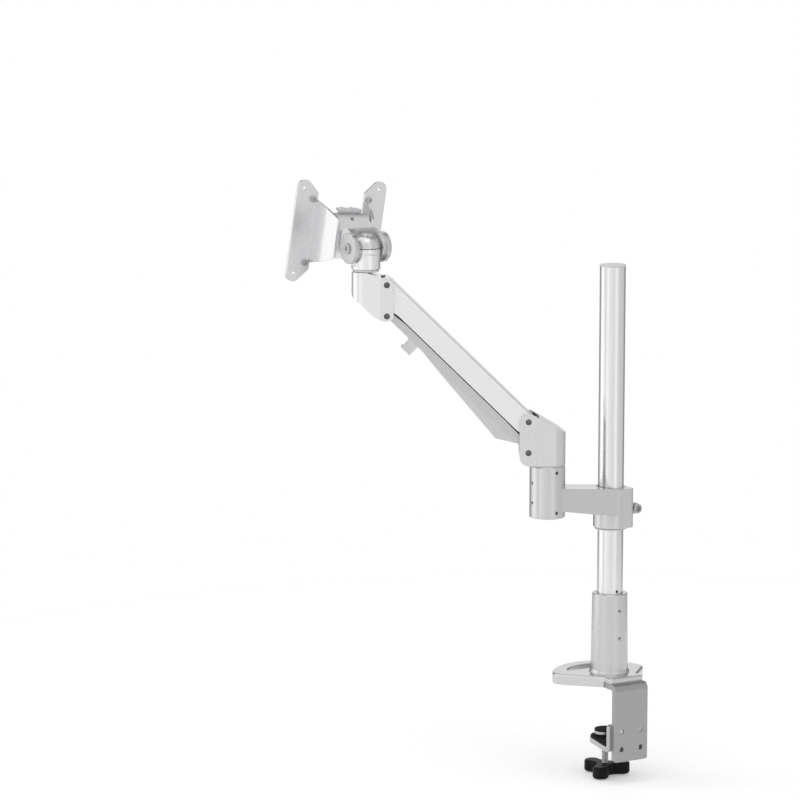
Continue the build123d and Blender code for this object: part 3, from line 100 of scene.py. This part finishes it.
# ---------------------------------------------------------------- material helpers
class Paint:
    """A node material that is built up step by step."""

    def __init__(self, name):
        self.material = bpy.data.materials.new(name)
        self.material.use_nodes = True
        self.nodes = self.material.node_tree.nodes
        self.links = self.material.node_tree.links
        self.shader = self.nodes["Principled BSDF"]
        self.place = self.nodes.new("ShaderNodeTexCoord").outputs["Object"]
        self.normal = None

    def noise(self, scale, detail=3.0, stretch=(1, 1, 1)):
        mapping = self.nodes.new("ShaderNodeMapping")
        mapping.inputs["Scale"].default_value = stretch
        self.links.new(self.place, mapping.inputs["Vector"])
        texture = self.nodes.new("ShaderNodeTexNoise")
        texture.inputs["Scale"].default_value = scale
        texture.inputs["Detail"].default_value = detail
        self.links.new(mapping.outputs["Vector"], texture.inputs["Vector"])
        return texture.outputs["Fac"]

    def spread(self, value, low, high):
        """Maps the middle of a noise to a range."""
        node = self.nodes.new("ShaderNodeMapRange")
        node.inputs["From Min"].default_value = NOISE_LOW
        node.inputs["From Max"].default_value = NOISE_HIGH
        node.inputs["To Min"].default_value = low
        node.inputs["To Max"].default_value = high
        self.links.new(value, node.inputs["Value"])
        return node.outputs["Result"]

    def colour(self, first, second, value):
        ramp = self.nodes.new("ShaderNodeValToRGB")
        ends = zip(ramp.color_ramp.elements, (NOISE_LOW, NOISE_HIGH), (first, second))
        for element, position, tone in ends:
            element.position = position
            element.color = (*tone, 1)
        self.links.new(value, ramp.inputs["Fac"])
        self.links.new(ramp.outputs["Color"], self.shader.inputs["Base Color"])

    def roughness(self, value, low, high):
        self.links.new(self.spread(value, low, high), self.shader.inputs["Roughness"])

    def soft_edges(self, radius):
        bevel = self.nodes.new("ShaderNodeBevel")
        bevel.samples = 6
        bevel.inputs["Radius"].default_value = radius
        self.normal = bevel.outputs["Normal"]

    def bump(self, value, height):
        node = self.nodes.new("ShaderNodeBump")
        node.inputs["Distance"].default_value = height
        self.links.new(value, node.inputs["Height"])
        if self.normal is not None:
            self.links.new(self.normal, node.inputs["Normal"])
        self.normal = node.outputs["Normal"]

    def done(self, metallic=0.0, coat=0.0, specular=0.5):
        self.shader.inputs["Metallic"].default_value = metallic
        self.shader.inputs["Coat Weight"].default_value = coat
        self.shader.inputs["Specular IOR Level"].default_value = specular
        if self.normal is not None:
            self.links.new(self.normal, self.shader.inputs["Normal"])
        return self.material


def silver_paint(name, tone, flake):
    """Metallic paint: fine flakes, a slight orange peel and softened edges."""
    paint = Paint(name)
    grain = paint.noise(2600, 2)
    peel = paint.noise(420, 2)
    cloud = paint.noise(26, 3)
    low = [tone * (1 - flake)] * 2 + [tone * (1 - flake) * 1.012]
    high = [tone * (1 + flake)] * 2 + [tone * (1 + flake) * 1.012]
    paint.colour(low, high, grain)
    paint.roughness(cloud, 0.26, 0.285)
    paint.soft_edges(0.0007)
    paint.bump(peel, 0.000002)
    paint.bump(grain, 0.000002)
    return paint.done(metallic=0.82, coat=0.1)


def anodised_tube(name, tone):
    """Drawn aluminium: long faint lines along the tube under a satin skin."""
    paint = Paint(name)
    lines = paint.noise(1400, 2, stretch=(1, 1, 0.01))
    cloud = paint.noise(18, 2)
    paint.colour([tone * 0.96] * 3, [tone * 1.03] * 3, lines)
    paint.roughness(cloud, 0.185, 0.205)
    paint.soft_edges(0.0005)
    paint.bump(lines, 0.000002)
    return paint.done(metallic=0.9, coat=0.1)


def plated_steel(name, tone):
    """Turned and plated steel, a little stained."""
    paint = Paint(name)
    lines = paint.noise(900, 3, stretch=(1, 1, 0.2))
    stain = paint.noise(90, 4)
    paint.colour([tone * 0.82, tone * 0.82, tone * 0.84], [tone, tone, tone * 0.99], stain)
    paint.roughness(lines, 0.2, 0.36)
    paint.soft_edges(0.0003)
    paint.bump(lines, 0.00001)
    return paint.done(metallic=1.0)


def black_paint(name):
    """Black lacquer with a fine grain."""
    paint = Paint(name)
    grain = paint.noise(1800, 2)
    paint.colour((0.004, 0.004, 0.0042), (0.008, 0.008, 0.0084), grain)
    paint.roughness(grain, 0.32, 0.45)
    paint.soft_edges(0.0004)
    paint.bump(grain, 0.00001)
    return paint.done(specular=0.12)


def moulded_plastic(name, low, high, rough, spark):
    """Spark-eroded mould texture: fine pits and a broad sheen change."""
    paint = Paint(name)
    pits = paint.noise(1500, 4)
    cloud = paint.noise(60, 2)
    paint.colour(low, high, cloud)
    paint.roughness(pits, rough - 0.06, rough + 0.08)
    paint.soft_edges(0.0006)
    paint.bump(pits, spark)
    return paint.done(specular=0.1)


def rubber(name):
    """Dull black rubber with a little dust."""
    paint = Paint(name)
    grain = paint.noise(1100, 5)
    dust = paint.noise(140, 4)
    paint.colour((0.010, 0.010, 0.010), (0.020, 0.0195, 0.019), dust)
    paint.roughness(grain, 0.72, 0.9)
    paint.bump(grain, 0.00004)
    return paint.done(specular=0.2)


FINISHES = {
    "silver_cast": silver_paint("silver_cast_paint", 0.8, 0.04),
    "silver_plate": silver_paint("silver_plate_paint", 0.74, 0.05),
    "pole_silver": anodised_tube("anodised_pole", 0.74),
    "bright_steel": plated_steel("plated_steel", 0.5),
    "dark_steel": black_paint("black_paint"),
    "black_rubber": rubber("black_rubber"),
    "black_plastic": moulded_plastic(
        "black_plastic", (0.006, 0.006, 0.0065), (0.011, 0.011, 0.0115), rough=0.42, spark=0.00003),
    "grey_plastic": moulded_plastic(
        "grey_plastic", (0.56, 0.56, 0.57), (0.62, 0.62, 0.63), rough=0.4, spark=0.00001),
}


# pieces painted darker than the rest of their slot: painted shade, each a shaded copy of its paint
PAINTED_SHADES = {
    "clamp_plate": silver_paint("clamp_plate_painted_shade", 0.35, 0.05),
    "jaw_bracket": silver_paint("jaw_painted_shade", 0.48, 0.05),
    "head_cap": silver_paint("head_cap_painted_shade", 0.62, 0.05),
    "upper_elbow": silver_paint("fork_painted_shade", 0.73, 0.05),
    "tilt_discs": silver_paint("disc_painted_shade", 0.54, 0.04),
    "pole_bracket": silver_paint("bracket_painted_shade", 0.58, 0.06),
    "lower_elbow": silver_paint("elbow_painted_shade", 0.66, 0.06),
    "lower_link": silver_paint("link_painted_shade", 0.55, 0.05),
    "pole_socket": silver_paint("socket_painted_shade", 0.56, 0.05),
    "base_disc": silver_paint("base_painted_shade", 0.6, 0.05),
    # the pins' dark tone is painted shade, for the shade inside their hex sockets
    "lower_pins": plated_steel("pins_painted_shade", 0.16),
    "upper_pins": plated_steel("upper_pins_painted_shade", 0.16),
}


def dress_cad():
    """Gives the listed nodes their painted shade, and every other CAD node the material of its slot in the
    record.
    """
    slots = {entry["node"]: entry["material_slot"] for entry in frame["record"]["subparts"]}
    for name, node in frame["nodes"].items():
        node.data.materials.clear()
        node.data.materials.append(PAINTED_SHADES.get(name, FINISHES[slots[name]]))


# ---------------------------------------------------------------- thread of the clamp screw
def clamp_thread():
    """The clamp screw with its thread: one skin wound round a core, over the CAD's plain rod."""
    low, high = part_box("clamp_screw")
    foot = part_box("pressure_foot")[0][2]
    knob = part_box("clamp_knob")[1][2]
    centre = Vector(((low[0] + high[0]) / 2, (low[1] + high[1]) / 2, 0))
    mesh = bmesh.new()

    def ring(height, radius, depth=0.0):
        """A ring of corners, cut in by the depth where the groove passes this height."""
        lead = 2 * pi * (height / THREAD_PITCH)
        corners = []
        for step in range(THREAD_STEPS):
            angle = 2 * pi * step / THREAD_STEPS
            reach = radius - depth * (0.5 - 0.5 * cos(angle - lead))
            corner = centre + Vector((reach * cos(angle), reach * sin(angle), height))
            corners.append(mesh.verts.new(corner))
        return corners

    def join(below, above):
        for step in range(THREAD_STEPS):
            after = (step + 1) % THREAD_STEPS
            mesh.faces.new((below[step], below[after], above[after], above[step]))

    thread_end = foot - THREAD_PITCH
    rings = [ring(low[2], THREAD_RADIUS), ring(knob, THREAD_RADIUS)]
    slices = int((thread_end - knob) / THREAD_PITCH * THREAD_SLICES)
    for index in range(slices + 1):
        height = knob + (thread_end - knob) * index / slices
        rings.append(ring(height, THREAD_RADIUS, THREAD_DEPTH))
    neck = THREAD_RADIUS * THREAD_NECK
    rings.append(ring(foot - THREAD_PITCH / 2, neck))
    rings.append(ring(high[2], neck))
    for below, above in zip(rings, rings[1:]):
        join(below, above)
    mesh.faces.new(list(reversed(rings[0])))
    mesh.faces.new(rings[-1])
    for face in mesh.faces:
        face.smooth = len(face.verts) == 4
    data = bpy.data.meshes.new("clamp_thread")
    mesh.to_mesh(data)
    mesh.free()
    piece = bpy.data.objects.new("clamp_thread", data)
    bpy.context.collection.objects.link(piece)
    data.materials.append(FINISHES["bright_steel"])
    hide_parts("clamp_screw")
    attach(piece, "spindle")


# ---------------------------------------------------------------- floor, light and camera
def pale_floor():
    """A round floor under the object that fades into the white round it."""
    mesh = bmesh.new()
    bmesh.ops.create_circle(mesh, cap_ends=True, segments=96, radius=FLOOR_RADIUS)
    data = bpy.data.meshes.new("floor")
    mesh.to_mesh(data)
    mesh.free()
    floor = bpy.data.objects.new("floor", data)
    floor.location = (0, 0, cad_box[0][2] - FLOOR_GAP)
    bpy.context.collection.objects.link(floor)
    material = bpy.data.materials.new("pale_floor")
    material.use_nodes = True
    nodes, links = material.node_tree.nodes, material.node_tree.links
    shader = nodes["Principled BSDF"]
    shader.inputs["Base Color"].default_value = (FLOOR_TONE, FLOOR_TONE, FLOOR_TONE, 1)
    shader.inputs["Roughness"].default_value = 0.9
    path = nodes.new("ShaderNodeLightPath")
    seen = path.outputs["Is Camera Ray"]
    for ray in ("Is Glossy Ray", "Is Transmission Ray"):
        either = nodes.new("ShaderNodeMath")
        either.operation = "MAXIMUM"
        links.new(seen, either.inputs[0])
        links.new(path.outputs[ray], either.inputs[1])
        seen = either.outputs["Value"]
    lift = nodes.new("ShaderNodeMath")
    lift.operation = "MULTIPLY"
    lift.inputs[1].default_value = FLOOR_LIFT
    links.new(seen, lift.inputs[0])
    shader.inputs["Emission Color"].default_value = (1, 1, 1, 1)
    links.new(lift.outputs["Value"], shader.inputs["Emission Strength"])
    place = nodes.new("ShaderNodeTexCoord")
    scale = nodes.new("ShaderNodeMapping")
    scale.inputs["Scale"].default_value = (1 / FLOOR_RADIUS,) * 3
    links.new(place.outputs["Object"], scale.inputs["Vector"])
    fall = nodes.new("ShaderNodeTexGradient")
    fall.gradient_type = "QUADRATIC_SPHERE"
    links.new(scale.outputs["Vector"], fall.inputs["Vector"])
    edge = nodes.new("ShaderNodeMapRange")
    edge.inputs["From Max"].default_value = FLOOR_FADE
    links.new(fall.outputs["Fac"], edge.inputs["Value"])
    clear = nodes.new("ShaderNodeBsdfTransparent")
    mix = nodes.new("ShaderNodeMixShader")
    links.new(edge.outputs["Result"], mix.inputs["Fac"])
    links.new(clear.outputs["BSDF"], mix.inputs[1])
    links.new(shader.outputs["BSDF"], mix.inputs[2])
    links.new(mix.outputs["Shader"], nodes["Material Output"].inputs["Surface"])
    data.materials.append(material)


def studio_light():
    """White behind the object, with softboxes and dark flags round the camera's side."""
    world = bpy.data.worlds.new("studio")
    bpy.context.scene.world = world
    world.use_nodes = True
    nodes, links = world.node_tree.nodes, world.node_tree.links
    place = nodes.new("ShaderNodeTexCoord")
    turn = nodes.new("ShaderNodeMapping")
    turn.inputs["Rotation"].default_value = (0, 0, VIEW_ANGLE)
    links.new(place.outputs["Generated"], turn.inputs["Vector"])
    parts = nodes.new("ShaderNodeSeparateXYZ")
    links.new(turn.outputs["Vector"], parts.inputs["Vector"])
    flip = nodes.new("ShaderNodeMath")
    flip.operation = "MULTIPLY"
    flip.inputs[1].default_value = -1
    links.new(parts.outputs["X"], flip.inputs[0])
    heading = nodes.new("ShaderNodeMath")
    heading.operation = "ARCTAN2"
    links.new(flip.outputs["Value"], heading.inputs[0])
    links.new(parts.outputs["Y"], heading.inputs[1])
    share = nodes.new("ShaderNodeMapRange")
    share.inputs["From Min"].default_value = -pi
    share.inputs["From Max"].default_value = pi
    links.new(heading.outputs["Value"], share.inputs["Value"])
    ramp = nodes.new("ShaderNodeValToRGB")
    ramp.color_ramp.interpolation = "EASE"
    elements = ramp.color_ramp.elements
    while len(elements) < len(STUDIO):
        elements.new(0.5)
    for element, (angle, level) in zip(elements, STUDIO):
        element.position = (angle + 180) / 360
        element.color = (level, level, level, 1)
    links.new(share.outputs["Result"], ramp.inputs["Fac"])
    links.new(ramp.outputs["Color"], nodes["Background"].inputs["Color"])


def softbox(name, place, target, size, power):
    """A rectangular lamp that faces its target."""
    light = bpy.data.lights.new(name, "AREA")
    light.shape = "RECTANGLE"
    light.size, light.size_y = size
    light.energy = power
    lamp = bpy.data.objects.new(name, light)
    lamp.location = place
    lamp.rotation_euler = (Vector(target) - Vector(place)).to_track_quat("-Z", "Y").to_euler()
    bpy.context.collection.objects.link(lamp)


def add_camera():
    """A long lens that looks slightly down at the object."""
    look = Vector((-sin(VIEW_ANGLE) * cos(VIEW_PITCH), -cos(VIEW_ANGLE) * cos(VIEW_PITCH), -sin(VIEW_PITCH)))
    data = bpy.data.cameras.new("camera")
    data.lens = VIEW_LENS
    data.sensor_width = 36
    data.clip_end = 50
    camera = bpy.data.objects.new("camera", data)
    camera.location = VIEW_TARGET - look * VIEW_DISTANCE
    camera.rotation_euler = look.to_track_quat("-Z", "Y").to_euler()
    bpy.context.collection.objects.link(camera)
    bpy.context.scene.camera = camera


dress_cad()
clamp_thread()
pale_floor()
studio_light()
softbox("overhead", SOFTBOX_PLACE, SOFTBOX_TARGET, SOFTBOX_SIZE, SOFTBOX_POWER)
add_camera()
bpy.context.scene.view_settings.view_transform = "Standard"
